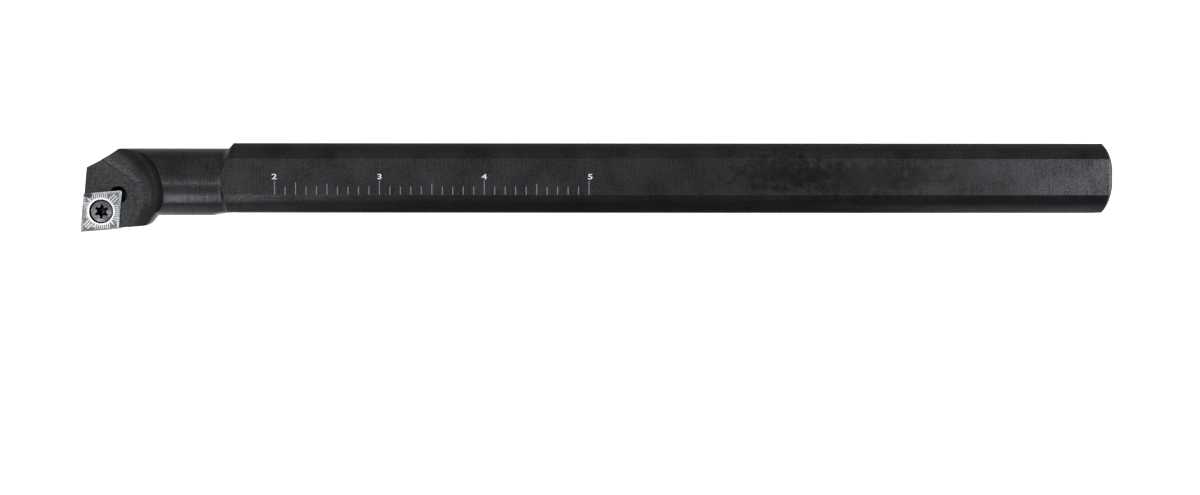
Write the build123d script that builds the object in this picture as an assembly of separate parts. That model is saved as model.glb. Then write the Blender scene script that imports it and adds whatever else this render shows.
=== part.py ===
"""Right-hand boring bar with a 3/4 inch shank and one screw-clamped 80-degree insert.

The bar runs along X. Each piece is drawn with X measured from the cutting tip, and is then moved so
that the origin lies on the shank's axis in the rear end face, with the head at negative X. The
cutting side is -Y. Z is up, and z = 0 is the height of the cutting edge, on the shank's axis.
"""
from build123d import *
import os
from math import asin, cos, degrees, radians, sin, sqrt, tan

INCH = 25.4

# Bar as a whole.
OVERALL_LENGTH = 10 * INCH  # cutting tip to rear end face
TIP_OFFSET = 0.53 * INCH  # cutting tip to the shank's axis

# Shank: round, with four milled flats for the clamping screws of the holder.
SHANK_DIAMETER = 0.75 * INCH
FLAT_DEPTH = 1.06  # how deep each flat is milled into the round
FLAT_START = 37.4  # where the flats' cutter stops, from the tip
FLAT_CUTTER_RADIUS = 14.0  # leaves the run-out in front of each flat
REAR_CHAMFER = 0.8

# Neck: turned off centre, so that it is cut in deeper at the back than on the cutting side.
NECK_CUT_BACK = 2.06
NECK_CUT_FRONT = 0.32
SHOULDER_FOOT = 37.85  # where the cone up to the shank leaves the neck, from the tip
SHOULDER_ANGLE = 45.0  # of that cone, which is turned about the neck's axis
SHOULDER_FILLET = 1.6  # at its foot

# Head: a round nose that carries the insert, with its axis parallel to the insert's side edge.
NOSE_DIAMETER = 18.6
NOSE_LENGTH = 17.4  # from the tip to the corner where the nose turns in to the neck
NOSE_SHOULDER_ANGLE = 45.0
NOSE_SHOULDER_FILLET = 2.2
HEAD_CLEARANCE = 7.0  # of the head's front and side faces, below the insert
FRONT_SETBACK = 0.08  # how far the insert stands out over the head's front face
SIDE_SETBACK = 0.25  # and over its side
BEVEL_ANGLE = 27.0  # of the corner cut off the head at the back, from the bar's axis
BEVEL_LENGTH = 10.7  # from the tip to where the bevel ends

# Gullet: a flat floor just below the cutting edge, and a hollow wall that sweeps up to the neck.
FLOOR_DROP = 0.3
GULLET_X = 8.2  # centre of the round stretch of the floor's edge, from the tip
GULLET_Y = -4.6
GULLET_RADIUS = 6.0
GULLET_BACK_ANGLE = 56.0  # which way the wall faces along the stretch towards the back
GULLET_SIDE_ANGLE = -20.0  # and along the stretch towards the cutting side
GULLET_STEP_HEIGHT = 0.4  # small step round the floor
GULLET_STEP_WIDTH = 0.24
GULLET_LEDGE = 1.5  # narrow ledge above the step
GULLET_LEDGE_ANGLE = 8.0
GULLET_WALL_RADIUS = 11.0
GULLET_WALL_ANGLE = 14.0  # slope at which the wall leaves the ledge

# Insert: 3/8 inch inscribed circle, 80-degree rhombus.
INSERT_CIRCLE = 0.375 * INCH
INSERT_THICKNESS = 3.97
INSERT_ANGLE = 80.0
INSERT_CLEARANCE = 7.0
INSERT_NOSE_RADIUS = 0.4
INSERT_LAND = 0.12  # flat rim along the cutting edges
CHIP_GROOVE_WIDTH = 0.9
CHIP_GROOVE_DEPTH = 0.28
BOSS_DROP = 0.03  # the raised ring lies this far below the edges
BOSS_WIDTH = 0.5  # of the ring round the hole
CORNER_RIBS = 3  # short ribs side by side in each acute corner
CORNER_RIB_LENGTH = 2.0
CORNER_RIB_WIDTH = 0.32
CORNER_RIB_PITCH = 0.62
SIDE_BUMP_LENGTH = 1.6  # pointed bump in each obtuse corner
SIDE_BUMP_WIDTH = 1.9
SIDE_TEETH = 8  # short teeth side by side along each edge
TOOTH_LENGTH = 0.8
TOOTH_WIDTH = 0.26
TOOTH_PITCH = 0.5

# Pocket: its corner is drilled free, so that the insert's inner corner touches nothing.
RELIEF_DIAMETER = 4.5
RELIEF_INSET = 1.6  # from the pocket's corner to the drilled hole's axis
RELIEF_DEPTH = 1.2  # below the pocket's floor

# Insert screw.
SCREW_THREAD = 4.0
SCREW_HEAD_DIAMETER = 5.5
SCREW_HEAD_ANGLE = 60.0  # included angle of the head's cone and of the countersink
SCREW_HEAD_RIM = 0.24  # straight rim above the cone
SCREW_CROWN = 0.1  # chamfer round the top of the head
SCREW_LENGTH = 6.3
SCREW_POINT = 0.5  # chamfer at the end of the thread
RECESS_LOBES = 6
RECESS_DIAMETER = 3.6  # over the lobes
RECESS_CORE = 2.3  # between the lobes
RECESS_FLUTE_RADIUS = 0.55
RECESS_DEPTH = 1.7
RECESS_TURN = -3.0  # where the tightened screw came to stand

# Clearances between the pieces.
HOLE_CLEARANCE = 0.2  # insert's hole to the screw's thread, all round
RIM_CLEARANCE = 0.3  # rim of the countersink to the screw's head, all round
THREAD_CLEARANCE = 0.02  # tapped hole to the screw's thread, all round
POCKET_CLEARANCE = 0.01  # pocket's walls to the insert's sides

# Values that follow from the driving dimensions.
shank_radius = SHANK_DIAMETER / 2
neck_radius = shank_radius - (NECK_CUT_BACK + NECK_CUT_FRONT) / 2
neck_y = (NECK_CUT_FRONT - NECK_CUT_BACK) / 2
nose_radius = NOSE_DIAMETER / 2
nose_height = nose_radius * sin(radians(HEAD_CLEARANCE))  # of the nose's axis
edge_angle = (90 - INSERT_ANGLE) / 2  # how far the insert's edges stand off the bar's axes
half_angle = radians(INSERT_ANGLE / 2)
cone_slope = tan(radians(SCREW_HEAD_ANGLE / 2))
thread_radius = SCREW_THREAD / 2
screw_head_radius = SCREW_HEAD_DIAMETER / 2
hole_radius = thread_radius + HOLE_CLEARANCE
rim_radius = screw_head_radius + RIM_CLEARANCE
reach = 2 * SHANK_DIAMETER  # how far the cutting tools reach past the metal


def toward(angle, distance):
    """Step of the given length in the XY plane, at an angle in degrees from +X."""
    return Vector(cos(radians(angle)), sin(radians(angle))) * distance


# The insert's rounded tip touches the planes that give the bar's length and offset. Its long
# diagonal runs at 45 degrees, from the tip's sharp corner to the pocket's corner.
nose_centre = Vector(INSERT_NOSE_RADIUS, INSERT_NOSE_RADIUS - TIP_OFFSET)
sharp_corner = nose_centre - toward(45, INSERT_NOSE_RADIUS / sin(half_angle))
half_diagonal = INSERT_CIRCLE / 2 / sin(half_angle)
insert_centre = sharp_corner + toward(45, half_diagonal)
insert_place = Pos(insert_centre) * Rot(Z=45)


def turned(face):
    """Solid of revolution about X, from a face drawn in X and radius."""
    return revolve(face, Axis.X)


def bored(outline):
    """Solid of revolution about Z, from an outline drawn in radius and height."""
    return revolve(Plane.XZ * make_face(outline), Axis.Z)


def rounded(face, x, y, radius):
    """The face, with its corner nearest to (x, y) rounded."""
    return fillet(face.vertices().sort_by_distance((x, y, 0))[0], radius)


# --- Bar ---


def blank():
    """Round bar with its rear chamfer."""
    profile = make_face(
        Polyline(
            (0, 0),
            (0, shank_radius),
            (OVERALL_LENGTH - REAR_CHAMFER, shank_radius),
            (OVERALL_LENGTH, shank_radius - REAR_CHAMFER),
            (OVERALL_LENGTH, 0),
            close=True,
        )
    )
    return turned(profile)


def off_centre_turning():
    """What the lathe leaves of the blank: the neck and, behind it, the cone with its hollow foot."""
    cone_end = SHOULDER_FOOT + reach / tan(radians(SHOULDER_ANGLE))
    profile = make_face(
        Polyline(
            (0, 0),
            (0, neck_radius),
            (SHOULDER_FOOT, neck_radius),
            (cone_end, neck_radius + reach),
            (OVERALL_LENGTH + reach, neck_radius + reach),
            (OVERALL_LENGTH + reach, 0),
            close=True,
        )
    )
    profile = rounded(profile, SHOULDER_FOOT, neck_radius, SHOULDER_FILLET)
    return Pos(0, neck_y, 0) * turned(profile)


def nose():
    """Round nose under the insert, parallel to its side edge, with a cone in to the neck."""
    setback = nose_radius * cos(radians(HEAD_CLEARANCE)) + SIDE_SETBACK
    axis_start = sharp_corner + toward(90 + edge_angle, setback)
    cone_end = NOSE_LENGTH + nose_radius / tan(radians(NOSE_SHOULDER_ANGLE))
    profile = make_face(
        Polyline(
            (-nose_radius, 0),
            (-nose_radius, nose_radius),
            (NOSE_LENGTH, nose_radius),
            (cone_end, 0),
            close=True,
        )
    )
    profile = rounded(profile, NOSE_LENGTH, nose_radius, NOSE_SHOULDER_FILLET)
    return Pos(axis_start.X, axis_start.Y, nose_height) * Rot(Z=edge_angle) * turned(profile)


def front_plane():
    """Plane of the head's front face, which leans back below the insert's front edge."""
    lean = Vector(0, 0, -1) * sin(radians(HEAD_CLEARANCE))
    outward = toward(180 - edge_angle, cos(radians(HEAD_CLEARANCE))) + lean
    return Plane(origin=sharp_corner - toward(180 - edge_angle, FRONT_SETBACK), z_dir=outward)


def bevel_plane():
    """Upright plane that cuts off the head's corner at the back."""
    end = Vector(BEVEL_LENGTH, shank_radius - NECK_CUT_BACK)
    return Plane(origin=end, z_dir=toward(90 + BEVEL_ANGLE, 1))


def gullet_section():
    """Half section of the gullet: X is measured from the middle of its arc, Y from its floor."""
    height = FLOOR_DROP + nose_height + nose_radius + 1
    step = Vector(GULLET_RADIUS + GULLET_STEP_WIDTH, GULLET_STEP_HEIGHT)
    ledge = step + toward(GULLET_LEDGE_ANGLE, GULLET_LEDGE)
    middle = ledge + toward(GULLET_WALL_ANGLE + 90, GULLET_WALL_RADIUS)
    turn = degrees(asin((height - middle.Y) / GULLET_WALL_RADIUS)) - (GULLET_WALL_ANGLE - 90)
    wall = CenterArc(middle, GULLET_WALL_RADIUS, GULLET_WALL_ANGLE - 90, turn)
    outline = Polyline(wall @ 1, (0, height), (0, 0), (GULLET_RADIUS, 0), step, ledge)
    return make_face(outline + wall), height


def gullet():
    """Everything that is milled away over the floor, round the arc and along both stretches."""
    section, height = gullet_section()
    centre = Vector(GULLET_X, GULLET_Y, -FLOOR_DROP)
    back = Plane(centre, x_dir=toward(GULLET_BACK_ANGLE, 1), z_dir=toward(GULLET_BACK_ANGLE - 90, 1))
    side = Plane(centre, x_dir=toward(GULLET_SIDE_ANGLE, 1), z_dir=toward(GULLET_SIDE_ANGLE - 90, 1))
    floor = make_face(
        Polyline(
            (0, 0),
            toward(GULLET_BACK_ANGLE + 90, reach),
            (-reach, -reach),
            toward(GULLET_SIDE_ANGLE - 90, reach),
            close=True,
        )
    )
    return (
        Pos(centre) * revolve(Plane.XZ * section, Axis.Z)
        + extrude(back * section, -reach)
        + extrude(side * section, reach)
        + Pos(centre) * extrude(floor, height)
    )


def flat_cutter():
    """What one pass of the milling cutter takes off over a flat, drawn for the top of the bar."""
    flat_height = shank_radius - FLAT_DEPTH
    lift = 2 * FLAT_DEPTH
    run_out = sqrt(FLAT_CUTTER_RADIUS**2 - (FLAT_CUTTER_RADIUS - lift) ** 2)
    end = OVERALL_LENGTH + 1
    outline = Polyline(
        (FLAT_START, flat_height),
        (end, flat_height),
        (end, flat_height + lift),
        (FLAT_START - run_out, flat_height + lift),
    ) + RadiusArc(
        (FLAT_START - run_out, flat_height + lift), (FLAT_START, flat_height), -FLAT_CUTTER_RADIUS
    )
    return extrude(Plane.XZ * make_face(outline), SHANK_DIAMETER, both=True)


def pocket():
    """Insert's seat: the insert's own two inner walls and floor, open towards the tip."""
    opening = 4 * INSERT_CIRCLE
    growth = (opening - INSERT_CIRCLE) / 2 / sin(half_angle)
    shift = POCKET_CLEARANCE / sin(half_angle) - growth
    seat = extrude(Pos(shift, 0) * rhombus(opening), -INSERT_THICKNESS, taper=INSERT_CLEARANCE)
    return insert_place * seat


def corner_relief():
    """Drilled hole that frees the pocket's inner corner."""
    depth = INSERT_THICKNESS + RELIEF_DEPTH
    drill = Pos(half_diagonal - RELIEF_INSET, 0, -depth) * Cylinder(
        RELIEF_DIAMETER / 2, depth, align=(Align.CENTER, Align.CENTER, Align.MIN)
    )
    return insert_place * drill


def tapped_hole():
    """Hole for the insert screw, through the pocket's floor and out of the head's underside."""
    return Pos(insert_centre) * Cylinder(
        thread_radius + THREAD_CLEARANCE, reach, align=(Align.CENTER, Align.CENTER, Align.MAX)
    )


def make_bar():
    """One-piece bar: shank, neck and head, with every cut taken out of them."""
    body = (blank() & off_centre_turning()) + nose()
    for quarter in range(4):
        body -= Rot(X=90 * quarter) * flat_cutter()
    body = split(body, front_plane(), keep=Keep.BOTTOM)
    body = split(body, bevel_plane(), keep=Keep.BOTTOM)
    return body - gullet() - pocket() - corner_relief() - tapped_hole()


# --- Insert ---


def rhombus(circle, corner_radius=0.0):
    """Rhombus round an inscribed circle, with its acute corners on X, as a face round the origin."""
    long_half = circle / 2 / sin(half_angle)
    short_half = circle / 2 / cos(half_angle)
    face = make_face(
        Polyline((long_half, 0), (0, short_half), (-long_half, 0), (0, -short_half), close=True)
    )
    if corner_radius:
        face = fillet(face.vertices(), corner_radius)
    return face


def chip_breaker():
    """Raised ring round the hole, with ribs, pointed bumps and teeth between it and the edges."""
    ring = rim_radius + BOSS_WIDTH
    relief = Circle(ring)
    for rib in range(CORNER_RIBS):
        offset = (rib - (CORNER_RIBS - 1) / 2) * CORNER_RIB_PITCH
        relief += Pos(0, offset) * Rectangle(2 * (ring + CORNER_RIB_LENGTH), CORNER_RIB_WIDTH)
    tip = ring + SIDE_BUMP_LENGTH
    half = SIDE_BUMP_WIDTH / 2
    relief += make_face(Polyline((half, 0), (0, tip), (-half, 0), (0, -tip), close=True))
    for side in (-1, 1):
        for tooth in range(SIDE_TEETH):
            offset = (tooth - (SIDE_TEETH - 1) / 2) * TOOTH_PITCH
            strip = Rectangle(2 * (ring + TOOTH_LENGTH), TOOTH_WIDTH)
            relief += Rot(Z=side * (90 - INSERT_ANGLE / 2)) * Pos(0, offset) * strip
    return relief


def chip_groove():
    """Groove behind the cutting edges, less what stands up in it."""
    top = INSERT_CIRCLE - 2 * INSERT_LAND
    bottom = top - 2 * CHIP_GROOVE_WIDTH
    groove = loft([rhombus(top), Pos(0, 0, -CHIP_GROOVE_DEPTH) * rhombus(bottom)])
    raised = extrude(chip_breaker(), CHIP_GROOVE_DEPTH - BOSS_DROP)
    return groove - Pos(0, 0, -CHIP_GROOVE_DEPTH) * raised


def countersunk_hole():
    """Insert's hole, with the cone that takes the screw's head."""
    cone_depth = (rim_radius - hole_radius) / cone_slope
    return bored(
        Polyline(
            (0, 1),
            (rim_radius, 1),
            (rim_radius, -BOSS_DROP),
            (hole_radius, -BOSS_DROP - cone_depth),
            (hole_radius, -INSERT_THICKNESS - 1),
            (0, -INSERT_THICKNESS - 1),
            close=True,
        )
    )


def make_insert():
    """Carbide insert, seated in the pocket with its top face at the height of the cutting edge."""
    blank = extrude(
        rhombus(INSERT_CIRCLE, INSERT_NOSE_RADIUS), -INSERT_THICKNESS, taper=INSERT_CLEARANCE
    )
    return insert_place * (blank - chip_groove() - countersunk_hole())


# --- Insert screw ---


def six_lobe_recess():
    """Driver recess: a round socket with a rounded flute left standing between each two lobes."""
    socket = Circle(RECESS_DIAMETER / 2)
    flute_centre = RECESS_CORE / 2 + RECESS_FLUTE_RADIUS
    socket -= PolarLocations(flute_centre, RECESS_LOBES) * Circle(RECESS_FLUTE_RADIUS)
    return extrude(Rot(Z=RECESS_TURN) * socket, -RECESS_DEPTH)


def make_screw():
    """Insert screw, with its cone on the countersink's cone."""
    rim_z = -BOSS_DROP - RIM_CLEARANCE / cone_slope
    top = rim_z + SCREW_HEAD_RIM
    end = top - SCREW_LENGTH
    cone_end = rim_z - (screw_head_radius - thread_radius) / cone_slope
    shape = bored(
        Polyline(
            (0, top),
            (screw_head_radius - SCREW_CROWN, top),
            (screw_head_radius, top - SCREW_CROWN),
            (screw_head_radius, rim_z),
            (thread_radius, cone_end),
            (thread_radius, end + SCREW_POINT),
            (thread_radius - SCREW_POINT, end),
            (0, end),
            close=True,
        )
    )
    return Pos(insert_centre) * (shape - Pos(0, 0, top) * six_lobe_recess())


def write_parts():
    """Write one STEP file for each piece, with the origin at the rear end of the shank."""
    os.makedirs("parts", exist_ok=True)
    to_rear_end = Pos(-OVERALL_LENGTH, 0, 0)
    pieces = {"bar": make_bar(), "insert": make_insert(), "insert_screw": make_screw()}
    for name, piece in pieces.items():
        export_step(to_rear_end * piece, f"parts/{name}.step")


write_parts()
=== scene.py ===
"""Looks for the right-hand boring bar: a black-oxide steel bar, its carbide insert and the insert screw.

Every length below is in millimetres unless it says otherwise, in the bar's own frame: the origin lies on
the shank's axis in the rear end face, the head is at negative X, the cutting side at negative Y, Z is up.
"""

import logging
import math
from dataclasses import dataclass, field
from enum import Enum
from typing import Any, Sequence

import bmesh
import bpy
from mathutils import Euler, Matrix, Vector


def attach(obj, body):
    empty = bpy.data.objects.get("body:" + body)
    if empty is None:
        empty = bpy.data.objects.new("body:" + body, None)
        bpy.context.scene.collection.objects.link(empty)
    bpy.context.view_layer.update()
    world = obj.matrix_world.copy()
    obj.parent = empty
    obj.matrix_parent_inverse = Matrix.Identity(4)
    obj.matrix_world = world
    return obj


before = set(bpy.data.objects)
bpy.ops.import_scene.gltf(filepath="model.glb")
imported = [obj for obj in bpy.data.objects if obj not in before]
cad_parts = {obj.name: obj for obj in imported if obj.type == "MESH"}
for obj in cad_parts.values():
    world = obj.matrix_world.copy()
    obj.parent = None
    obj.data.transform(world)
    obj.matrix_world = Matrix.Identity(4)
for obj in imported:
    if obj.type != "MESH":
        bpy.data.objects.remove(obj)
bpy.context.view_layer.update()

Tree = bpy.types.NodeTree
Socket = bpy.types.NodeSocket

LOG = logging.getLogger("boring_bar")
MM = 0.001  # metres in a millimetre
ROOT = "root"  # the part's only body
AXIS = -1.0  # less than any distance from an axis, so what starts here takes in the axis itself


# --- Small helpers ---


def linear(hex_colour: str) -> tuple[float, float, float, float]:
    """Turn an sRGB hex colour into Blender's linear RGBA.

    Args:
        hex_colour: Six hex digits after a hash sign.

    Returns:
        Red, green, blue and an alpha of 1.
    """
    channels = (int(hex_colour[i : i + 2], 16) / 255 for i in (1, 3, 5))
    curve = (c / 12.92 if c <= 0.04045 else ((c + 0.055) / 1.055) ** 2.4 for c in channels)
    return (*curve, 1.0)


def add_node(
    tree: Tree,
    kind: str,
    settings: dict[str, Any] | None = None,
    inputs: dict[str | int, Any] | None = None,
) -> bpy.types.Node:
    """Add a shader node, with its settings, and set or link its inputs.

    Args:
        tree: Node tree that gets the node.
        kind: Blender's name for the node's type.
        settings: Properties of the node itself.
        inputs: Socket name or number to a value, or to the output socket that feeds it.

    Returns:
        The new node.
    """
    node = tree.nodes.new(kind)
    for name, value in (settings or {}).items():
        setattr(node, name, value)
    for name, value in (inputs or {}).items():
        if isinstance(value, Socket):
            tree.links.new(value, node.inputs[name])
        else:
            node.inputs[name].default_value = value
    return node


def new_material(name: str) -> tuple[bpy.types.Material, Tree, bpy.types.Node]:
    """Start a node material that holds only its output and its main shader.

    Args:
        name: Name of the finish.

    Returns:
        The material, its node tree and the main shader.
    """
    material = bpy.data.materials.new(name)
    material.use_nodes = True
    tree = material.node_tree
    tree.nodes.clear()
    shader = add_node(tree, "ShaderNodeBsdfPrincipled")
    add_node(tree, "ShaderNodeOutputMaterial", inputs={"Surface": shader.outputs["BSDF"]})
    return material, tree, shader


def new_object(name: str, mesh: bmesh.types.BMesh, material: bpy.types.Material) -> bpy.types.Object:
    """Make an object from a mesh that already lies in the bar's frame, in metres.

    Args:
        name: Name of the object.
        mesh: Its geometry, which is freed.
        material: Its finish.

    Returns:
        The object, in the scene, at the origin.
    """
    data = bpy.data.meshes.new(name)
    mesh.to_mesh(data)
    mesh.free()
    data.materials.append(material)
    made = bpy.data.objects.new(name, data)
    bpy.context.scene.collection.objects.link(made)
    return made


def dress(node: str, material: bpy.types.Material) -> bpy.types.Object:
    """Give a solid its finish in place of the plain one that it came with.

    Args:
        node: Name of the solid's node.
        material: Its finish.

    Returns:
        The solid's object.
    """
    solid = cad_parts[node]
    for slot in solid.material_slots:
        slot.material = material
    return solid


# --- Finishes ---


def pattern(
    tree: Tree, where: Socket, cells: Sequence[float], detail: float = 4.0, roughness: float = 0.6
) -> Socket:
    """Lay an irregular pattern through space.

    Args:
        tree: Node tree of the finish.
        where: Coordinates in metres.
        cells: Size of the pattern's cells along X, Y and Z, in millimetres.
        detail: How many finer layers lie on the cells.
        roughness: How strongly those layers show.

    Returns:
        The pattern, which lies round 0.5.
    """
    scale = tuple(1 / (cell * MM) for cell in cells)
    scaled = add_node(tree, "ShaderNodeMapping", inputs={"Vector": where, "Scale": scale})
    return add_node(
        tree,
        "ShaderNodeTexNoise",
        inputs={"Vector": scaled.outputs["Vector"], "Scale": 1.0, "Detail": detail, "Roughness": roughness},
    ).outputs["Fac"]


def within(tree: Tree, value: Socket, start: float, end: float, blur: float = 0.3) -> Socket:
    """Tell where a coordinate lies between two limits.

    Args:
        tree: Node tree of the finish.
        value: The coordinate, in metres.
        start: Lower limit, in millimetres.
        end: Upper limit, in millimetres.
        blur: How wide the change is at either limit, in millimetres.

    Returns:
        1 between the limits and 0 outside.
    """
    rise, fall = (
        add_node(
            tree,
            "ShaderNodeMapRange",
            inputs={
                "Value": value,
                "From Min": (limit - blur / 2) * MM,
                "From Max": (limit + blur / 2) * MM,
                "To Min": low,
                "To Max": 1.0 - low,
            },
        ).outputs["Result"]
        for limit, low in ((start, 0.0), (end, 1.0))
    )
    return add_node(tree, "ShaderNodeMath", {"operation": "MULTIPLY"}, {0: rise, 1: fall}).outputs[0]


def from_axis(tree: Tree, where: Socket, axis: tuple[float, float]) -> Socket:
    """Measure how far each point lies from an upright axis.

    Args:
        tree: Node tree of the finish.
        where: Coordinates in metres.
        axis: X and Y of the axis, in millimetres.

    Returns:
        The distance in metres.
    """
    level = add_node(tree, "ShaderNodeVectorMath", {"operation": "MULTIPLY"}, {0: where, 1: (1.0, 1.0, 0.0)})
    return add_node(
        tree,
        "ShaderNodeVectorMath",
        {"operation": "DISTANCE"},
        {0: level.outputs["Vector"], 1: (axis[0] * MM, axis[1] * MM, 0.0)},
    ).outputs["Value"]


@dataclass(frozen=True)
class Patch:
    """A soft-edged, uneven patch of another tone, seen from above."""

    middle: tuple[float, float]
    reach: tuple[float, float]
    colour: str
    strength: float
    mottle: float  # size of the spots that break the patch up
    unevenness: float = 1.6  # how far they do, as a share of its reach
    fade: tuple[float, float] = (0.5, 1.15)  # where it starts to fade and where it ends, as such shares

    def over(self, tree: Tree, where: Socket, colour: Socket) -> Socket:
        """Lay the patch over a colour.

        Args:
            tree: Node tree of the finish.
            where: Coordinates in metres.
            colour: The colour without the patch.

        Returns:
            The colour with the patch.
        """
        wide, deep = self.reach
        shares = add_node(
            tree, "ShaderNodeVectorMath", {"operation": "MULTIPLY"}, {0: where, 1: (1 / wide, 1 / deep, 0.0)}
        )
        away = add_node(
            tree,
            "ShaderNodeVectorMath",
            {"operation": "DISTANCE"},
            {0: shares.outputs["Vector"], 1: (self.middle[0] / wide * MM, self.middle[1] / deep * MM, 0.0)},
        )
        uneven = add_node(
            tree,
            "ShaderNodeMath",
            {"operation": "MULTIPLY_ADD"},
            {
                0: pattern(tree, where, (self.mottle,) * 3),
                1: self.unevenness * MM,
                2: away.outputs["Value"],
            },
        )
        start, end = ((share + self.unevenness / 2) * MM for share in self.fade)
        cover = add_node(
            tree,
            "ShaderNodeMapRange",
            {"interpolation_type": "SMOOTHSTEP"},
            {
                "Value": uneven.outputs[0],
                "From Min": start,
                "From Max": end,
                "To Min": self.strength,
                "To Max": 0.0,
            },
        )
        return add_node(
            tree,
            "ShaderNodeMix",
            {"data_type": "RGBA"},
            {"Factor": cover.outputs["Result"], "A": colour, "B": linear(self.colour)},
        ).outputs["Result"]


@dataclass(frozen=True)
class Finish:
    """What the metal finishes share: two tones, a gleam, softened edges and a pattern in relief."""

    name: str
    dark: str
    light: str
    contrast: float  # half the stretch of the pattern over which the tones change
    roughness: float
    roughness_spread: float
    edge_radius: float
    relief: float
    relief_strength: float

    def tone(self, tree: Tree, where: Socket) -> Socket:
        """Give the pattern round 0.5 that drives colour, gleam and relief."""
        raise NotImplementedError

    def shade(self, tree: Tree, where: Socket, colour: Socket) -> Socket:
        """Change the two-tone colour from place to place; the plain finish keeps it."""
        return colour

    def gleam(self, tree: Tree, where: Socket, rough: Socket) -> Socket:
        """Change the roughness from place to place; the plain finish keeps it."""
        return rough

    def lay(self, tree: Tree, where: Socket, normal: Socket) -> Socket:
        """Change how the surface lies from place to place; the plain finish keeps it."""
        return normal

    def material(self) -> bpy.types.Material:
        """Build the finish.

        Returns:
            The material.
        """
        material, tree, shader = new_material(self.name)
        where = add_node(tree, "ShaderNodeTexCoord").outputs["Object"]
        tone = self.tone(tree, where)
        low, high = 0.5 - self.contrast, 0.5 + self.contrast
        ramp = add_node(tree, "ShaderNodeValToRGB", inputs={"Fac": tone})
        for stop, position, colour in zip(ramp.color_ramp.elements, (low, high), (self.dark, self.light)):
            stop.position = position
            stop.color = linear(colour)
        rough = add_node(
            tree,
            "ShaderNodeMapRange",
            inputs={
                "Value": tone,
                "From Min": low,
                "From Max": high,
                "To Min": self.roughness + self.roughness_spread,
                "To Max": self.roughness - self.roughness_spread,
            },
        )
        edges = add_node(tree, "ShaderNodeBevel", {"samples": 4}, {"Radius": self.edge_radius * MM})
        bump = add_node(
            tree,
            "ShaderNodeBump",
            inputs={
                "Strength": self.relief_strength,
                "Distance": self.relief * MM,
                "Height": tone,
                "Normal": self.lay(tree, where, edges.outputs["Normal"]),
            },
        )
        shader.inputs["Metallic"].default_value = 1.0
        tree.links.new(self.shade(tree, where, ramp.outputs["Color"]), shader.inputs["Base Color"])
        tree.links.new(self.gleam(tree, where, rough.outputs["Result"]), shader.inputs["Roughness"])
        tree.links.new(bump.outputs["Normal"], shader.inputs["Normal"])
        return material


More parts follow.
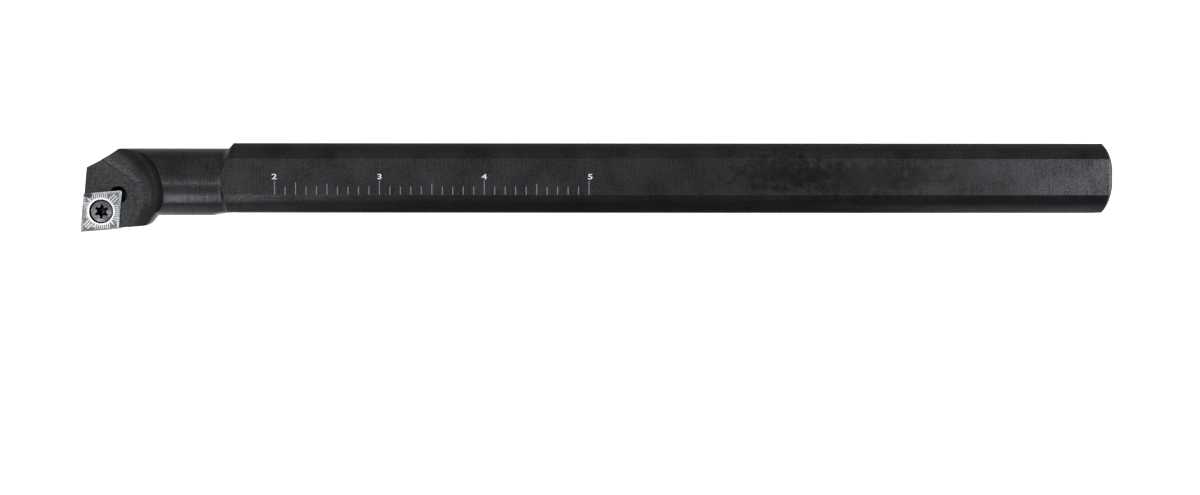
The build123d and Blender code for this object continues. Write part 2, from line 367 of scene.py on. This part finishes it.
@dataclass(frozen=True)
class BlackOxide(Finish):
    """Black oxide over milled and turned steel, oiled: near black, faintly blue, mottled, softly satin."""

    name: str = "black_oxide_steel_milled"
    dark: str = "#232426"
    light: str = "#3f4042"
    contrast: float = 0.10
    roughness: float = 0.32
    roughness_spread: float = 0.07
    edge_radius: float = 0.18
    relief: float = 0.02
    relief_strength: float = 0.7
    grain: float = 0.42  # the oxide's mottling; the real one is finer
    cloud: float = 8.0  # uneven patches left by the oxide bath
    cloud_share: float = 0.25  # of the whole pattern
    mark_pitch: float = 0.3  # real tool marks are about 0.1 apart; drawn coarser so that they show
    mark_length: float = 9.0
    mark_share: float = 0.3  # of the pattern without its clouds
    flat: tuple[float, float] = (8.455, 8.965)  # Y or Z, whichever is larger: only the flats reach it
    flat_blur: float = 0.01
    neck: tuple[float, float] = (-236.6, -216.2)  # where the neck was turned
    neck_roughness: float = 0.26
    neck_sheen: float = 1.2  # painted sheen: how much lighter the turned neck is painted than the milled faces
    bare: str = "#6e7073"  # painted edge highlight: the pale steel grey laid along the edges
    edge_highlight: float = 0.35  # how strongly the edge highlight is painted
    edge_highlight_turn: tuple[float, float] = (0.99, 0.93)  # cosine of an edge's turn, from none to the full painted highlight
    chamfer: tuple[float, float] = (-0.78, -0.02)  # the rear end's chamfer, which gets a painted highlight
    chamfer_blur: float = 0.04
    chamfer_highlight: float = 0.2
    patches: tuple[Patch, ...] = (  # darker patches on the rear half of the top flat
        Patch((-79.0, 1.0), (13.0, 4.6), "#101011", 0.42, 2.0, 2.6),
        Patch((-60.0, -0.6), (22.0, 5.0), "#101011", 0.36, 2.0, 2.6),
    )

    def tone(self, tree: Tree, where: Socket) -> Socket:
        """Mottle the oxide, over tool marks that run across the flats and round the neck.

        Args:
            tree: Node tree of the finish.
            where: Coordinates in metres.

        Returns:
            The pattern, which lies round 0.5.
        """
        grain = pattern(tree, where, (self.grain,) * 3, detail=5.0, roughness=0.68)
        cloud = pattern(tree, where, (self.cloud,) * 3, detail=3.0, roughness=0.5)
        across = pattern(tree, where, (self.mark_pitch, self.mark_length, self.mark_length))
        along = pattern(tree, where, (self.mark_length, self.mark_pitch, self.mark_pitch))
        axes = add_node(tree, "ShaderNodeSeparateXYZ", inputs={"Vector": where})
        aside, aloft = (
            add_node(tree, "ShaderNodeMath", {"operation": "ABSOLUTE"}, {0: axes.outputs[axis]}).outputs[0]
            for axis in "YZ"
        )
        reach = add_node(tree, "ShaderNodeMath", {"operation": "MAXIMUM"}, {0: aside, 1: aloft})
        flat = within(tree, reach.outputs[0], *self.flat, self.flat_blur)
        neck = within(tree, axes.outputs["X"], *self.neck)
        crossed = add_node(tree, "ShaderNodeMath", {"operation": "MAXIMUM"}, {0: flat, 1: neck})
        marks = add_node(
            tree, "ShaderNodeMix", {"data_type": "FLOAT"}, {"Factor": crossed.outputs[0], 2: along, 3: across}
        )
        marked = add_node(
            tree,
            "ShaderNodeMix",
            {"data_type": "FLOAT"},
            {"Factor": self.mark_share, 2: grain, 3: marks.outputs[0]},
        )
        return add_node(
            tree,
            "ShaderNodeMix",
            {"data_type": "FLOAT"},
            {"Factor": self.cloud_share, 2: marked.outputs[0], 3: cloud},
        ).outputs[0]

    def shade(self, tree: Tree, where: Socket, colour: Socket) -> Socket:
        """Paint a sheen onto the turned neck, darken patches of the flat and paint highlights onto the edges.

        Args:
            tree: Node tree of the finish.
            where: Coordinates in metres.
            colour: The two-tone colour.

        Returns:
            The changed colour.
        """
        axes = add_node(tree, "ShaderNodeSeparateXYZ", inputs={"Vector": where})
        neck = within(tree, axes.outputs["X"], *self.neck)
        # painted sheen that lightens the turned neck
        sheen_scale = add_node(
            tree, "ShaderNodeMath", {"operation": "MULTIPLY_ADD"}, {0: neck, 1: self.neck_sheen - 1.0, 2: 1.0}
        )
        patched = add_node(
            tree, "ShaderNodeVectorMath", {"operation": "SCALE"}, {0: colour, "Scale": sheen_scale.outputs[0]}
        ).outputs["Vector"]
        for patch in self.patches:
            patched = patch.over(tree, where, patched)
        # painted highlight along every sharp turn of the surface, and on the rear chamfer
        soft = add_node(tree, "ShaderNodeBevel", {"samples": 6}, {"Radius": self.edge_radius * MM})
        sharp = add_node(tree, "ShaderNodeNewGeometry")
        turn = add_node(
            tree,
            "ShaderNodeVectorMath",
            {"operation": "DOT_PRODUCT"},
            {0: soft.outputs["Normal"], 1: sharp.outputs["Normal"]},
        )
        clean, full = self.edge_highlight_turn
        edges_lit = add_node(
            tree,
            "ShaderNodeMapRange",
            inputs={
                "Value": turn.outputs["Value"],
                "From Min": clean,
                "From Max": full,
                "To Min": 0.0,
                "To Max": self.edge_highlight,
            },
        )
        chamfer = within(tree, axes.outputs["X"], *self.chamfer, self.chamfer_blur)
        chamfer_lit = add_node(
            tree, "ShaderNodeMath", {"operation": "MULTIPLY"}, {0: chamfer, 1: self.chamfer_highlight}
        )
        highlight_share = add_node(
            tree,
            "ShaderNodeMath",
            {"operation": "MAXIMUM"},
            {0: edges_lit.outputs["Result"], 1: chamfer_lit.outputs[0]},
        )
        return add_node(
            tree,
            "ShaderNodeMix",
            {"data_type": "RGBA"},
            {"Factor": highlight_share.outputs[0], "A": patched, "B": linear(self.bare)},
        ).outputs["Result"]

    def gleam(self, tree: Tree, where: Socket, rough: Socket) -> Socket:
        """Let the finely turned neck gleam more than the milled faces.

        Args:
            tree: Node tree of the finish.
            where: Coordinates in metres.
            rough: Roughness of the milled faces.

        Returns:
            The roughness.
        """
        axes = add_node(tree, "ShaderNodeSeparateXYZ", inputs={"Vector": where})
        neck = within(tree, axes.outputs["X"], *self.neck)
        return add_node(
            tree,
            "ShaderNodeMath",
            {"operation": "MULTIPLY_ADD"},
            {0: neck, 1: self.neck_roughness - self.roughness, 2: rough},
        ).outputs[0]


@dataclass(frozen=True)
class GroundCarbide(Finish):
    """Cemented carbide, ground bright on top; what lies lower is as pressed, greyer and duller."""

    name: str = "ground_carbide_bright"
    dark: str = "#9b9da0"
    light: str = "#c6c8ca"
    contrast: float = 0.15
    roughness: float = 0.22
    roughness_spread: float = 0.05
    edge_radius: float = 0.05
    relief: float = 0.01
    relief_strength: float = 0.3
    streak: float = 0.12  # real grinding streaks are finer
    streak_length: float = 2.5
    streak_turn: float = 5.0  # degrees; the streaks run along the insert's side edge
    pressed: str = "#707276"
    pressed_depth: tuple[float, float] = (-0.25, -0.06)  # from fully as pressed to fully ground
    hole: tuple[float, float] = (-248.801, -8.263)  # axis of the countersink
    # painted shade: black in the countersink under the screw's head
    countersink_shade: str = "#0e0e0f"
    hole_radius: float = 3.06  # of the painted shade in the countersink, at the ring's inner edge
    hole_depth: tuple[float, float] = (-9.0, -0.05)  # the painted shade keeps clear of the ground top
    hole_blur: float = 0.04
    # painted highlight: the bright ring round the countersink
    ring: str = "#e9eaec"
    ring_highlight_radius: float = 3.18  # where the painted highlight ring round the hole ends
    ring_highlight_blur: float = 0.12
    patches: tuple[Patch, ...] = (  # painted reflection and shade: a dark patch by the upper left corner, a grey band and a darker one along the lower edge, a darker one along the right edge; and a brownish stain
        Patch((-252.1, -4.15), (1.5, 0.75), "#34363a", 0.9, 0.5, 0.8),
        Patch((-253.3, -8.6), (0.9, 2.6), "#6d675f", 0.65, 0.7),
        Patch((-249.0, -12.2), (3.4, 0.9), "#b2b4b7", 0.65, 0.5),
        Patch((-249.5, -13.1), (4.5, 0.8), "#707376", 0.5, 0.7),
        Patch((-243.9, -8.2), (0.6, 4.6), "#66696d", 0.8, 0.7),
    )

    def tone(self, tree: Tree, where: Socket) -> Socket:
        """Draw grinding streaks along the insert's side edge.

        Args:
            tree: Node tree of the finish.
            where: Coordinates in metres.

        Returns:
            The pattern, which lies round 0.5.
        """
        turn = (0.0, 0.0, math.radians(self.streak_turn))
        turned = add_node(tree, "ShaderNodeMapping", inputs={"Vector": where, "Rotation": turn})
        return pattern(tree, turned.outputs["Vector"], (self.streak_length, self.streak, self.streak))

    def shade(self, tree: Tree, where: Socket, colour: Socket) -> Socket:
        """Grey what lies below the ground top, paint a highlight ring round the countersink, and paint shade
        black into the countersink under the screw's head.

        Args:
            tree: Node tree of the finish.
            where: Coordinates in metres.
            colour: The two-tone colour.

        Returns:
            The changed colour.
        """
        axes = add_node(tree, "ShaderNodeSeparateXYZ", inputs={"Vector": where})
        low, high = self.pressed_depth
        ground = add_node(
            tree,
            "ShaderNodeMapRange",
            inputs={"Value": axes.outputs["Z"], "From Min": low * MM, "From Max": high * MM},
        )
        clean = add_node(
            tree,
            "ShaderNodeMix",
            {"data_type": "RGBA"},
            {"Factor": ground.outputs["Result"], "A": linear(self.pressed), "B": colour},
        )
        away = from_axis(tree, where, self.hole)
        # painted highlight ring round the countersink
        patched = add_node(
            tree,
            "ShaderNodeMix",
            {"data_type": "RGBA"},
            {
                "Factor": within(tree, away, AXIS, self.ring_highlight_radius, self.ring_highlight_blur),
                "A": clean.outputs["Result"],
                "B": linear(self.ring),
            },
        ).outputs["Result"]
        for patch in self.patches:
            patched = patch.over(tree, where, patched)
        # painted shade, black in the countersink under the screw's head
        inside = within(tree, away, AXIS, self.hole_radius, self.hole_blur)
        below = within(tree, axes.outputs["Z"], *self.hole_depth, self.hole_blur)
        hole_shade_mask = add_node(tree, "ShaderNodeMath", {"operation": "MULTIPLY"}, {0: inside, 1: below})
        return add_node(
            tree,
            "ShaderNodeMix",
            {"data_type": "RGBA"},
            {"Factor": hole_shade_mask.outputs[0], "A": patched, "B": linear(self.countersink_shade)},
        ).outputs["Result"]


@dataclass(frozen=True)
class ScrewSteel(Finish):
    """Heat-treated screw steel under a thin film of oil: mid grey, with painted shade black below the head's
    top.
    """

    name: str = "heat_treated_screw_steel"
    dark: str = "#48494b"
    light: str = "#88898c"
    contrast: float = 0.14
    roughness: float = 0.30
    roughness_spread: float = 0.06
    edge_radius: float = 0.08
    relief: float = 0.01
    relief_strength: float = 0.3
    axis: tuple[float, float] = (-248.801, -8.263)
    grain: float = 0.3  # mottling from the heat treatment
    ring: float = 0.16  # between the facing tool's rings; the real ones are finer
    ring_share: float = 0.3  # of the whole pattern
    # painted shade: the black of all that lies below the head's top
    oiled: str = "#070708"
    recess_shade_depth: tuple[float, float] = (-0.48, -0.34)  # from the painted black shade to the steel's own colour, with the head's top at -0.31
    # painted light: the grey of the recess's floor where light reaches it
    floor: str = "#3a3b3d"
    floor_depth: tuple[float, float] = (-2.1, -1.9)  # the recess's flat floor
    floor_blur: float = 0.05
    lit: tuple[float, float] = (-249.4, -8.2)  # where light reaches that floor
    lit_radius: float = 0.5
    lit_blur: float = 0.5
    crown: float = 0.4  # how far the head's face falls off towards its rim
    crown_radius: float = 2.75
    patches: tuple[Patch, ...] = (  # painted highlights: brighter arcs on the head's face
        Patch((-248.9, -10.45), (1.35, 0.5), "#b4b5b8", 0.5, 0.6, 0.8),
        Patch((-246.85, -8.5), (0.4, 1.1), "#a6a7aa", 0.4, 0.6, 0.8),
        Patch((-249.9, -6.4), (1.0, 0.35), "#96979a", 0.3, 0.6, 0.8),
    )

    def lay(self, tree: Tree, where: Socket, normal: Socket) -> Socket:
        """Crown the head's face very slightly towards its rim.

        Args:
            tree: Node tree of the finish.
            where: Coordinates in metres.
            normal: How the flat face lies.

        Returns:
            How the crowned face lies.
        """
        share = add_node(
            tree,
            "ShaderNodeMath",
            {"operation": "DIVIDE"},
            {0: from_axis(tree, where, self.axis), 1: self.crown_radius * MM},
        )
        square = add_node(
            tree, "ShaderNodeMath", {"operation": "MULTIPLY"}, {0: share.outputs[0], 1: share.outputs[0]}
        )
        return add_node(
            tree,
            "ShaderNodeBump",
            {"invert": True},
            {"Strength": 1.0, "Distance": self.crown * MM, "Height": square.outputs[0], "Normal": normal},
        ).outputs["Normal"]

    def tone(self, tree: Tree, where: Socket) -> Socket:
        """Draw the facing tool's fine rings round the screw's axis, broken up by the heat treatment.

        Args:
            tree: Node tree of the finish.
            where: Coordinates in metres.

        Returns:
            The pattern, which lies round 0.5.
        """
        to_axis = (-self.axis[0] * MM, -self.axis[1] * MM, 0.0)
        centred = add_node(tree, "ShaderNodeMapping", inputs={"Vector": where, "Location": to_axis})
        rings = add_node(
            tree,
            "ShaderNodeTexWave",
            {"wave_type": "RINGS", "rings_direction": "Z"},
            {
                "Vector": centred.outputs["Vector"],
                "Scale": math.pi / (10 * self.ring * MM),
                "Distortion": 1.5,
                "Detail": 2.0,
                "Detail Scale": 1.5,
            },
        )
        return add_node(
            tree,
            "ShaderNodeMix",
            {"data_type": "FLOAT"},
            {
                "Factor": self.ring_share,
                2: pattern(tree, where, (self.grain,) * 3),
                3: rings.outputs["Fac"],
            },
        ).outputs[0]

    def shade(self, tree: Tree, where: Socket, colour: Socket) -> Socket:
        """Paint shade black below the head's top, and paint a little light onto the recess's floor.

        Args:
            tree: Node tree of the finish.
            where: Coordinates in metres.
            colour: The two-tone colour.

        Returns:
            The changed colour.
        """
        axes = add_node(tree, "ShaderNodeSeparateXYZ", inputs={"Vector": where})
        low, high = self.recess_shade_depth
        # 1 where the steel's own colour shows, 0 in the painted black shade
        clean = add_node(
            tree,
            "ShaderNodeMapRange",
            inputs={"Value": axes.outputs["Z"], "From Min": low * MM, "From Max": high * MM},
        )
        patched = colour
        for patch in self.patches:
            patched = patch.over(tree, where, patched)
        floor = within(tree, axes.outputs["Z"], *self.floor_depth, self.floor_blur)
        middle = within(tree, from_axis(tree, where, self.lit), AXIS, self.lit_radius, self.lit_blur)
        lit = add_node(tree, "ShaderNodeMath", {"operation": "MULTIPLY"}, {0: floor, 1: middle})
        deep = add_node(
            tree,
            "ShaderNodeMix",
            {"data_type": "RGBA"},
            {"Factor": lit.outputs[0], "A": linear(self.oiled), "B": linear(self.floor)},
        )
        return add_node(
            tree,
            "ShaderNodeMix",
            {"data_type": "RGBA"},
            {"Factor": clean.outputs["Result"], "A": deep.outputs["Result"], "B": patched},
        ).outputs["Result"]


@dataclass(frozen=True)
class LaserMark:
    """Steel laid bare by a marking laser through the oxide: matt, pale, with the beam's fine dots in it."""

    name: str
    dark: str
    light: str
    dot: float = 0.08
    contrast: float = 0.15
    metallic: float = 0.3  # the beam leaves a thin pale oxide on the steel
    roughness: float = 0.65

    def material(self) -> bpy.types.Material:
        """Build the finish.

        Returns:
            The material.
        """
        material, tree, shader = new_material(self.name)
        where = add_node(tree, "ShaderNodeTexCoord").outputs["Object"]
        dots = pattern(tree, where, (self.dot,) * 3, detail=3.0)
        ramp = add_node(tree, "ShaderNodeValToRGB", inputs={"Fac": dots})
        ends = (0.5 - self.contrast, 0.5 + self.contrast)
        for stop, position, colour in zip(ramp.color_ramp.elements, ends, (self.dark, self.light)):
            stop.position = position
            stop.color = linear(colour)
        tree.links.new(ramp.outputs["Color"], shader.inputs["Base Color"])
        shader.inputs["Metallic"].default_value = self.metallic
        shader.inputs["Roughness"].default_value = self.roughness
        return material


# --- Pieces ---


class TickRank(Enum):
    """How far a graduation line runs up the flat, as the height (Y) of its upper end."""

    TENTH = -2.4
    HALF = -1.7
    ODD = -1.35  # the one line of the scale that runs on past its neighbours
    INCH = -0.95


@dataclass
class Graduation:
    """Laser-marked scale on the shank's top flat: tenths of an inch from the cutting tip, numbered."""

    inch: float = 25.4
    tip: float = -253.79  # where the scale counts from
    first: int = 20  # tenths of an inch from the cutting tip
    last: int = 50
    odd_line: int = 22
    flat_height: float = 8.465
    line_foot: float = -4.36
    line_width: float = 0.19
    thickness: float = 0.02
    numeral_height: float = 1.3
    numeral_stretch: float = 1.45  # how much wider the numerals are than the typeface's own
    numeral_weight: float = 0.012  # how far the strokes are fattened, as a share of the type's size
    numeral_foot: float = -0.62
    numeral_drift: tuple[float, ...] = (-0.1, 0.0, 0.0, 0.28)  # of each numeral from the line it marks
    line_finish: LaserMark = LaserMark("laser_mark_faint", "#6c6f73", "#96999d")
    numeral_finish: LaserMark = LaserMark("laser_mark_strong", "#cfd1d3", "#f2f2f3")
    slot: str = "black_oxide_steel"

    def rank(self, tenth: int) -> TickRank:
        """Say how tall a line is.

        Args:
            tenth: Tenths of an inch from the tip.

        Returns:
            The line's rank.
        """
        if tenth % 10 == 0:
            return TickRank.INCH
        if tenth == self.odd_line:
            return TickRank.ODD
        return TickRank.HALF if tenth % 5 == 0 else TickRank.TENTH

    def position(self, tenth: int) -> float:
        """Give the X of so many tenths of an inch from the tip."""
        return self.tip + tenth * self.inch / 10

    def lines(self) -> bmesh.types.BMesh:
        """Build all the lines as thin closed bars on the flat.

        Returns:
            Their mesh.
        """
        mesh = bmesh.new()
        for tenth in range(self.first, self.last + 1):
            top = self.rank(tenth).value
            size = Vector((self.line_width, top - self.line_foot, self.thickness)) * MM
            middle = Vector((self.position(tenth), (top + self.line_foot) / 2, self.flat_height)) * MM
            bmesh.ops.create_cube(
                mesh, size=1.0, matrix=Matrix.Translation(middle) @ Matrix.Diagonal((*size, 1.0))
            )
        return mesh

    def numeral(self, tenth: int) -> bmesh.types.BMesh:
        """Build the number of whole inches as a thin closed solid on the flat.

        Args:
            tenth: Tenths of an inch from the tip.

        Returns:
            The numeral's mesh.
        """
        curve = bpy.data.curves.new("numeral", "FONT")
        curve.body = str(tenth // 10)
        curve.align_x = "CENTER"
        curve.offset = self.numeral_weight
        curve.extrude = 0.5  # a depth of 1 in all, which the scale below makes the thickness
        text = bpy.data.objects.new("numeral", curve)
        bpy.context.scene.collection.objects.link(text)
        bpy.context.view_layer.update()
        shape = bpy.data.meshes.new_from_object(text)
        bpy.data.objects.remove(text)
        bpy.data.curves.remove(curve)
        mesh = bmesh.new()
        mesh.from_mesh(shape)
        bpy.data.meshes.remove(shape)
        bmesh.ops.remove_doubles(mesh, verts=mesh.verts, dist=1e-5)
        low = Vector(min(v.co[i] for v in mesh.verts) for i in range(3))
        high = Vector(max(v.co[i] for v in mesh.verts) for i in range(3))
        tall = self.numeral_height / (high.y - low.y)
        scale = Vector((tall * self.numeral_stretch, tall, self.thickness)) * MM
        bmesh.ops.translate(mesh, verts=mesh.verts, vec=(-(low.x + high.x) / 2, -low.y, 0.0))
        bmesh.ops.scale(mesh, verts=mesh.verts, vec=scale)
        drift = self.numeral_drift[(tenth - self.first) // 10]
        foot = Vector((self.position(tenth) + drift, self.numeral_foot, self.flat_height)) * MM
        bmesh.ops.translate(mesh, verts=mesh.verts, vec=foot)
        bmesh.ops.recalc_face_normals(mesh, faces=mesh.faces)
        return mesh

    def numerals(self) -> bmesh.types.BMesh:
        """Build all the numerals.

        Returns:
            Their mesh.
        """
        mesh = bmesh.new()
        for tenth in range(self.first, self.last + 1, 10):
            part = self.numeral(tenth)
            loose = bpy.data.meshes.new("part")
            part.to_mesh(loose)
            part.free()
            mesh.from_mesh(loose)
            bpy.data.meshes.remove(loose)
        return mesh

    def build(self) -> list[bpy.types.Object]:
        """Build the lines and the numerals as pieces of their own.

        Returns:
            The two pieces.
        """
        pieces = [
            new_object("graduation_lines", self.lines(), self.line_finish.material()),
            new_object("graduation_numerals", self.numerals(), self.numeral_finish.material()),
        ]
        for piece in pieces:
            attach(piece, ROOT)
        return pieces


@dataclass
class Bar:
    """The one-piece bar with its marked scale."""

    finish: BlackOxide = field(default_factory=BlackOxide)
    scale: Graduation = field(default_factory=Graduation)

    def build(self) -> list[bpy.types.Object]:
        """Dress the bar and mark its flat."""
        return [dress("bar", self.finish.material()), *self.scale.build()]


@dataclass
class Insert:
    """The carbide insert."""

    finish: GroundCarbide = field(default_factory=GroundCarbide)

    def build(self) -> list[bpy.types.Object]:
        """Dress the insert."""
        return [dress("insert", self.finish.material())]


@dataclass
class InsertScrew:
    """The screw that clamps the insert."""

    finish: ScrewSteel = field(default_factory=ScrewSteel)

    def build(self) -> list[bpy.types.Object]:
        """Dress the screw."""
        return [dress("insert_screw", self.finish.material())]


# --- Studio ---


@dataclass(frozen=True)
class Softbox:
    """One soft rectangular light, aimed at a point of the bar; lengths in metres."""

    name: str
    place: tuple[float, float, float]
    target: tuple[float, float, float]
    size: tuple[float, float]
    radiance: float  # 1.0 is pure white when seen directly

    def build(self) -> None:
        """Hang the light."""
        data = bpy.data.lights.new(self.name, "AREA")
        data.shape = "RECTANGLE"
        data.size, data.size_y = self.size
        data.energy = self.radiance * math.pi * self.size[0] * self.size[1]
        lamp = bpy.data.objects.new(self.name, data)
        lamp.location = self.place
        aim = Vector(self.target) - Vector(self.place)
        lamp.rotation_euler = aim.to_track_quat("-Z", "Y").to_euler()
        bpy.context.scene.collection.objects.link(lamp)


@dataclass
class Studio:
    """Pale floor, soft lights and the camera."""

    floor_height: float = -8.465
    floor_middle: float = -120.0
    floor_size: float = 4000.0
    floor_colour: str = "#f4f4f4"
    floor_roughness: float = 0.9
    floor_glow: float = 0.85  # the floor is a lit table, so that the bar's shadow stays faint
    paper_grain: float = 2.5
    paper_relief: float = 0.05
    front_glow: tuple[float, float, float] = (0.8, 0.2, 0.85)  # of the table: by the head, middle, rear end
    head_fade: tuple[float, float] = (-245.0, -185.0)  # from the head's glow to the middle's
    rear_fade: tuple[float, float] = (-65.0, 0.0)  # from the middle's glow to the rear end's
    back_glow: float = 0.38
    back_fade: tuple[float, float] = (-10.0, 10.0)  # from the front's glow to the back's
    ceiling_glow: float = 0.88
    wall_glow: tuple[float, float] = (0.14, 0.68)  # of the room at bench height, in front and behind
    bench_glow: tuple[float, float] = (0.3, 0.75)  # of what lies lower, in front and behind
    wall_fade: tuple[float, float] = (-0.5, 0.5)  # from front to back, by the Y of the direction
    bench_fade: tuple[float, float] = (-0.25, 0.0)  # from bench to wall, by the Z of the direction
    camera_place: tuple[float, float, float] = (-124.08, -14.81, 283.176)
    camera_turn: tuple[float, float, float] = (-0.4819, 0.0108, 0.0433)  # degrees
    camera_lens: float = 34.0
    lights: tuple[Softbox, ...] = (
        Softbox("right_softbox", (0.46, 0.0, 0.60), (-0.03, 0.0, 0.0), (0.40, 0.40), 4.9),
        Softbox("left_softbox", (-0.60, -0.03, 0.60), (-0.22, 0.0, 0.0), (0.32, 0.16), 2.2),
        Softbox("head_softbox", (-0.98, -0.08, 0.48), (-0.24, 0.0, 0.0), (0.38, 0.54), 1.1),
        Softbox("wall_softbox", (-0.72, -0.42, 0.52), (-0.24, 0.0, 0.0), (0.26, 0.26), 2.0),
        Softbox("neck_softbox", (-0.36, -0.07, 0.60), (-0.36, 0.0, 0.0), (0.40, 0.035), 4.5),
        Softbox("front_softbox", (-0.56, -0.57, 0.31), (-0.22, 0.0, 0.0), (0.34, 0.36), 2.85),
    )

    def mirrored_glow(self, tree: Tree, where: Socket) -> Socket:
        """Give the brightness of the table as the bar mirrors it: lit behind, shaded along the front.

        Args:
            tree: Node tree of the floor.
            where: Coordinates in metres.

        Returns:
            The emission strength.
        """
        axes = add_node(tree, "ShaderNodeSeparateXYZ", inputs={"Vector": where})
        head, middle, rear = self.front_glow
        left, right = (
            add_node(
                tree,
                "ShaderNodeMapRange",
                {"interpolation_type": "SMOOTHSTEP"},
                {
                    "Value": axes.outputs["X"],
                    "From Min": start * MM,
                    "From Max": end * MM,
                    "To Min": low,
                    "To Max": high,
                },
            ).outputs["Result"]
            for (start, end), low, high in (
                (self.head_fade, head - middle, 0.0),
                (self.rear_fade, 0.0, rear - middle),
            )
        )
        sides = add_node(tree, "ShaderNodeMath", {"operation": "ADD"}, {0: left, 1: right})
        front = add_node(tree, "ShaderNodeMath", {"operation": "ADD"}, {0: sides.outputs[0], 1: middle})
        start, end = self.back_fade
        return add_node(
            tree,
            "ShaderNodeMapRange",
            inputs={
                "Value": axes.outputs["Y"],
                "From Min": start * MM,
                "From Max": end * MM,
                "To Min": front.outputs[0],
                "To Max": self.back_glow,
            },
        ).outputs["Result"]

    def floor_material(self) -> bpy.types.Material:
        """Build the white paper of the lit table, with its own glow for the rays that the bar mirrors.

        Returns:
            The material.
        """
        material, tree, shader = new_material("studio_floor")
        where = add_node(tree, "ShaderNodeTexCoord").outputs["Object"]
        paper = pattern(tree, where, (self.paper_grain,) * 3, detail=3.0, roughness=0.5)
        bump = add_node(
            tree,
            "ShaderNodeBump",
            inputs={"Strength": 0.05, "Distance": self.paper_relief * MM, "Height": paper},
        )
        tree.links.new(bump.outputs["Normal"], shader.inputs["Normal"])
        shader.inputs["Base Color"].default_value = linear(self.floor_colour)
        shader.inputs["Roughness"].default_value = self.floor_roughness
        shader.inputs["Emission Color"].default_value = linear(self.floor_colour)
        shader.inputs["Emission Strength"].default_value = self.floor_glow
        mirrored = add_node(tree, "ShaderNodeEmission", inputs={"Strength": self.mirrored_glow(tree, where)})
        rays = add_node(tree, "ShaderNodeLightPath")
        both = add_node(
            tree,
            "ShaderNodeMixShader",
            inputs={
                "Fac": rays.outputs["Is Glossy Ray"],
                1: shader.outputs["BSDF"],
                2: mirrored.outputs["Emission"],
            },
        )
        tree.links.new(both.outputs["Shader"], tree.get_output_node("ALL").inputs["Surface"])
        return material

    def floor(self) -> None:
        """Lay the floor that the bar rests on."""
        mesh = bmesh.new()
        bmesh.ops.create_grid(mesh, x_segments=1, y_segments=1, size=self.floor_size / 2 * MM)
        middle = Vector((self.floor_middle, 0.0, self.floor_height)) * MM
        bmesh.ops.translate(mesh, verts=mesh.verts, vec=middle)
        new_object("floor", mesh, self.floor_material())

    def room(self) -> None:
        """Set the even light that the pale room throws back."""
        world = bpy.data.worlds.new("room")
        bpy.context.scene.world = world
        world.use_nodes = True
        tree = world.node_tree
        tree.nodes.clear()
        where = add_node(tree, "ShaderNodeTexCoord").outputs["Generated"]
        way = add_node(tree, "ShaderNodeSeparateXYZ", inputs={"Vector": where})
        start, end = self.wall_fade
        behind = {"Value": way.outputs["Y"], "From Min": start, "From Max": end}
        wall, bench = (
            add_node(
                tree, "ShaderNodeMapRange", inputs={**behind, "To Min": front, "To Max": back}
            ).outputs["Result"]
            for front, back in (self.wall_glow, self.bench_glow)
        )
        upper = add_node(
            tree,
            "ShaderNodeMapRange",
            inputs={
                "Value": way.outputs["Z"],
                "From Min": 0.0,
                "From Max": 1.0,
                "To Min": wall,
                "To Max": self.ceiling_glow,
            },
        )
        low, high = self.bench_fade
        glow = add_node(
            tree,
            "ShaderNodeMapRange",
            inputs={
                "Value": way.outputs["Z"],
                "From Min": low,
                "From Max": high,
                "To Min": bench,
                "To Max": upper.outputs["Result"],
            },
        )
        sky = add_node(tree, "ShaderNodeBackground", inputs={"Strength": glow.outputs["Result"]})
        add_node(tree, "ShaderNodeOutputWorld", inputs={"Surface": sky.outputs["Background"]})

    def camera(self) -> None:
        """Set up the camera that looks straight down on the bar."""
        data = bpy.data.cameras.new("camera")
        data.lens = self.camera_lens
        data.clip_start = 0.01
        camera = bpy.data.objects.new("camera", data)
        camera.location = Vector(self.camera_place) * MM
        camera.rotation_euler = Euler(math.radians(a) for a in self.camera_turn)
        bpy.context.scene.collection.objects.link(camera)
        bpy.context.scene.camera = camera

    def build(self) -> None:
        """Set up the whole studio."""
        self.floor()
        self.room()
        self.camera()
        for light in self.lights:
            light.build()
        bpy.context.scene.view_settings.view_transform = "Standard"


def main() -> None:
    """Build everything in order."""
    logging.basicConfig(level=logging.INFO, format="%(name)s: %(message)s")
    Studio().build()
    for assembly in (Bar(), Insert(), InsertScrew()):
        for piece in assembly.build():
            LOG.info("%s: %d faces", piece.name, len(piece.data.polygons))


if __name__ == "__main__":
    main()
